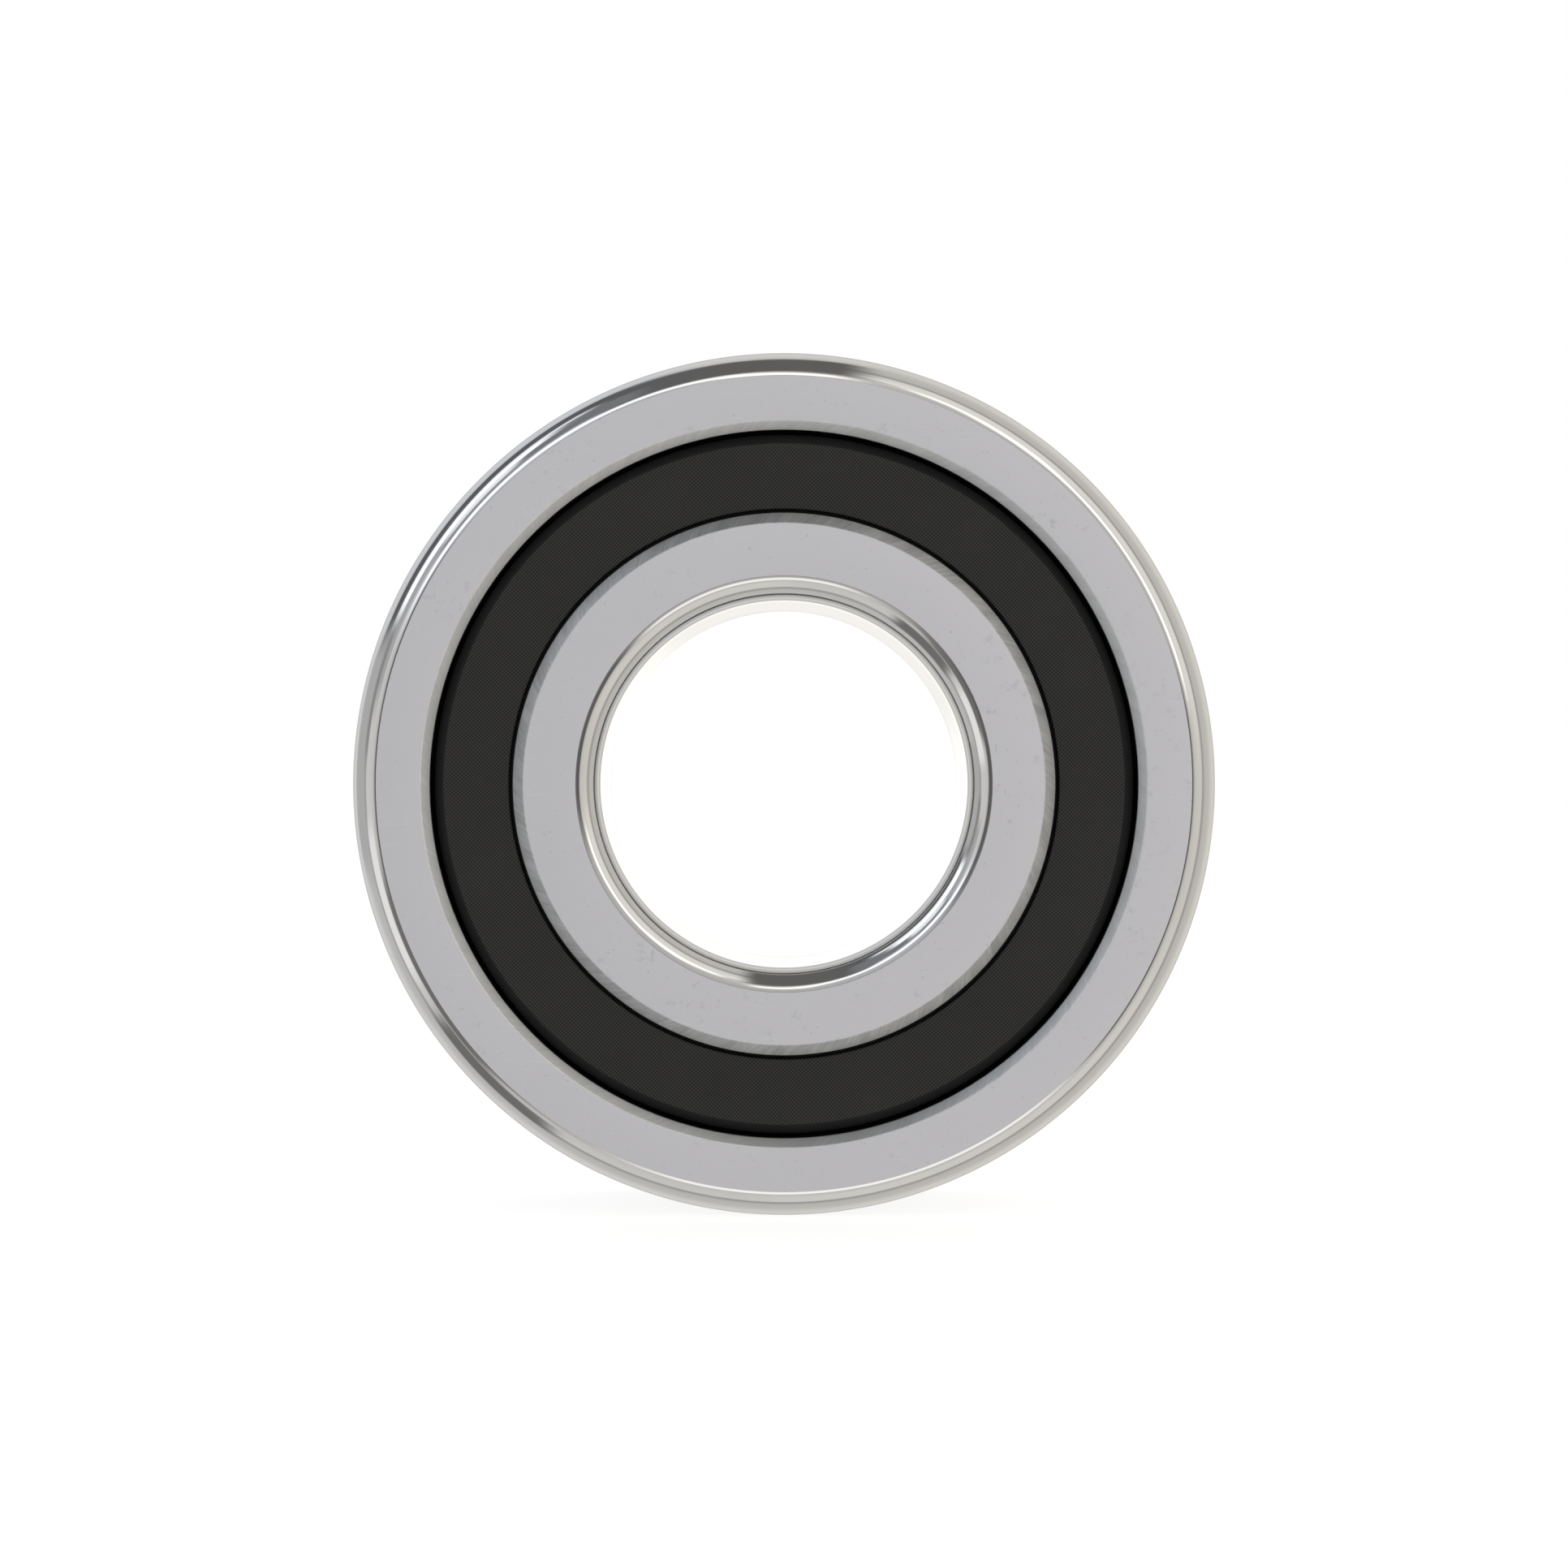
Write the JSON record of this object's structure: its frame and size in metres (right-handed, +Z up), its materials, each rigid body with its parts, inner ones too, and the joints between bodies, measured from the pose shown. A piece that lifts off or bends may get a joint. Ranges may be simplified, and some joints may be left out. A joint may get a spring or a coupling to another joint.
{
  "type": "sealed deep-groove ball bearing",
  "caption": "Single-row deep-groove ball bearing with a rubber seal on each side, which carries a turning shaft in a housing.",
  "frame": {"origin": "centre of the bearing, on its axis and halfway between its two faces", "axes": "+Y along the bearing's axis, from the front face to the rear face; +Z up, +X to the right of the front face"},
  "size_m": [0.047, 0.014, 0.047],
  "materials": {
    "outer_ring_steel": "ground flat faces with fine lines, polished corner radii",
    "inner_ring_steel": "ground flat faces with fine lines, polished corner radii",
    "ball_steel": "mirror polished",
    "cage_steel": "pressed sheet, satin",
    "rivet_steel": "cold headed, satin",
    "seal_insert_steel": "pressed sheet, satin",
    "seal_rubber": "matt, finely cross-hatched moulding texture"
  },
  "bodies": {
    "outer_ring_body": {"outer_ring": "outer_ring_steel", "seal_rubber_front": "seal_rubber", "seal_rubber_rear": "seal_rubber", "seal_insert_front": "seal_insert_steel", "seal_insert_rear": "seal_insert_steel"},
    "inner_ring_body": {"inner_ring": "inner_ring_steel"},
    "cage_body": {"cage_half_front": "cage_steel", "cage_half_rear": "cage_steel", "cage_rivet_1": "rivet_steel", "cage_rivet_2": "rivet_steel", "cage_rivet_3": "rivet_steel", "cage_rivet_4": "rivet_steel", "cage_rivet_5": "rivet_steel", "cage_rivet_6": "rivet_steel", "cage_rivet_7": "rivet_steel", "cage_rivet_8": "rivet_steel"},
    "ball_1_body": {"ball_1": "ball_steel"},
    "ball_2_body": {"ball_2": "ball_steel"},
    "ball_3_body": {"ball_3": "ball_steel"},
    "ball_4_body": {"ball_4": "ball_steel"},
    "ball_5_body": {"ball_5": "ball_steel"},
    "ball_6_body": {"ball_6": "ball_steel"},
    "ball_7_body": {"ball_7": "ball_steel"},
    "ball_8_body": {"ball_8": "ball_steel"}
  },
  "joints": [
    {"name": "inner_ring_spin", "type": "hinge", "parent": "outer_ring_body", "child": "inner_ring_body", "pos_m": [0, 0, 0], "axis": [0, 1, 0], "continuous": true},
    {"name": "cage_spin", "type": "hinge", "parent": "outer_ring_body", "child": "cage_body", "pos_m": [0, 0, 0], "axis": [0, 1, 0], "continuous": true},
    {"name": "ball_1_spin", "type": "hinge", "parent": "cage_body", "child": "ball_1_body", "pos_m": [0, 0, 0.01675], "axis": [0, 1, 0], "continuous": true},
    {"name": "ball_2_spin", "type": "hinge", "parent": "cage_body", "child": "ball_2_body", "pos_m": [0.01184, 0, 0.01184], "axis": [0, 1, 0], "continuous": true},
    {"name": "ball_3_spin", "type": "hinge", "parent": "cage_body", "child": "ball_3_body", "pos_m": [0.01675, 0, 0], "axis": [0, 1, 0], "continuous": true},
    {"name": "ball_4_spin", "type": "hinge", "parent": "cage_body", "child": "ball_4_body", "pos_m": [0.01184, 0, -0.01184], "axis": [0, 1, 0], "continuous": true},
    {"name": "ball_5_spin", "type": "hinge", "parent": "cage_body", "child": "ball_5_body", "pos_m": [0, 0, -0.01675], "axis": [0, 1, 0], "continuous": true},
    {"name": "ball_6_spin", "type": "hinge", "parent": "cage_body", "child": "ball_6_body", "pos_m": [-0.01184, 0, -0.01184], "axis": [0, 1, 0], "continuous": true},
    {"name": "ball_7_spin", "type": "hinge", "parent": "cage_body", "child": "ball_7_body", "pos_m": [-0.01675, 0, 0], "axis": [0, 1, 0], "continuous": true},
    {"name": "ball_8_spin", "type": "hinge", "parent": "cage_body", "child": "ball_8_body", "pos_m": [-0.01184, 0, 0.01184], "axis": [0, 1, 0], "continuous": true}
  ],
  "couplings": [
    {"joint": "cage_spin", "follows": "inner_ring_spin", "ratio": 0.38153},
    {"joint": "ball_1_spin", "follows": "inner_ring_spin", "ratio": -1.9918},
    {"joint": "ball_2_spin", "follows": "inner_ring_spin", "ratio": -1.9918},
    {"joint": "ball_3_spin", "follows": "inner_ring_spin", "ratio": -1.9918},
    {"joint": "ball_4_spin", "follows": "inner_ring_spin", "ratio": -1.9918},
    {"joint": "ball_5_spin", "follows": "inner_ring_spin", "ratio": -1.9918},
    {"joint": "ball_6_spin", "follows": "inner_ring_spin", "ratio": -1.9918},
    {"joint": "ball_7_spin", "follows": "inner_ring_spin", "ratio": -1.9918},
    {"joint": "ball_8_spin", "follows": "inner_ring_spin", "ratio": -1.9918}
  ]
}
